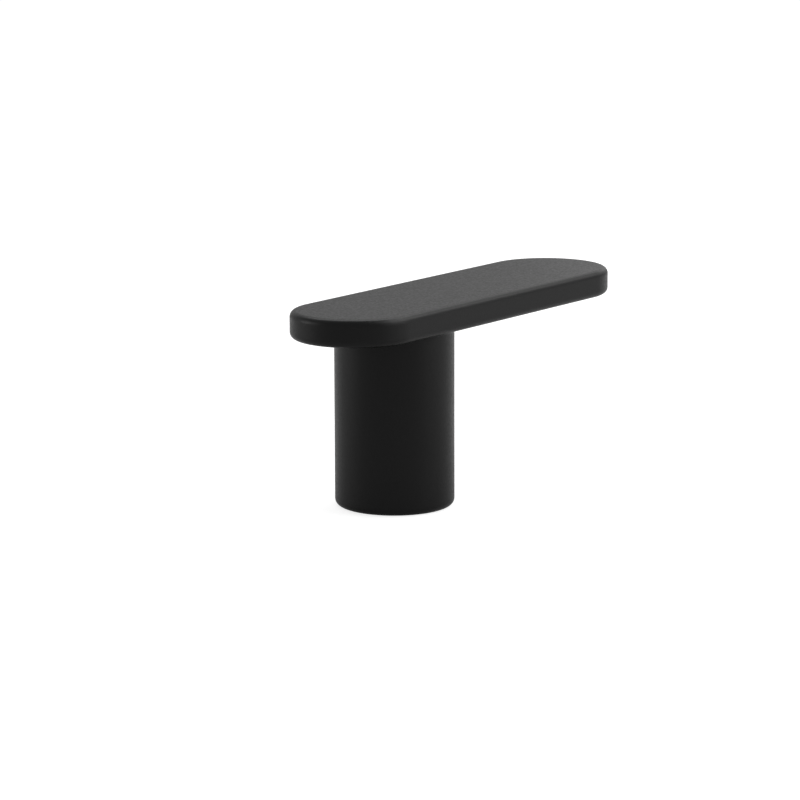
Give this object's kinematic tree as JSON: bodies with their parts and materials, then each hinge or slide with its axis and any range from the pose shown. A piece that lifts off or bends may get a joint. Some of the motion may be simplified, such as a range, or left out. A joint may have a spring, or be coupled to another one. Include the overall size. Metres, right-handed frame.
{
  "type": "cabinet knob",
  "caption": "Matte black cabinet knob: a round-ended finger plate carried off centre on a round stem, with a blind threaded hole in its base.",
  "frame": {"origin": "centre of the stem's base, on the screw's axis, in the face that sits on the door or drawer front", "axes": "+Z along the stem, away from the door; +X along the plate, towards its long overhang; Y across the plate"},
  "size_m": [0.07, 0.0196, 0.031],
  "materials": {
    "black_powder_coat": "matte"
  },
  "bodies": {
    "root": {"knob_body": "black_powder_coat"}
  },
  "joints": []
}
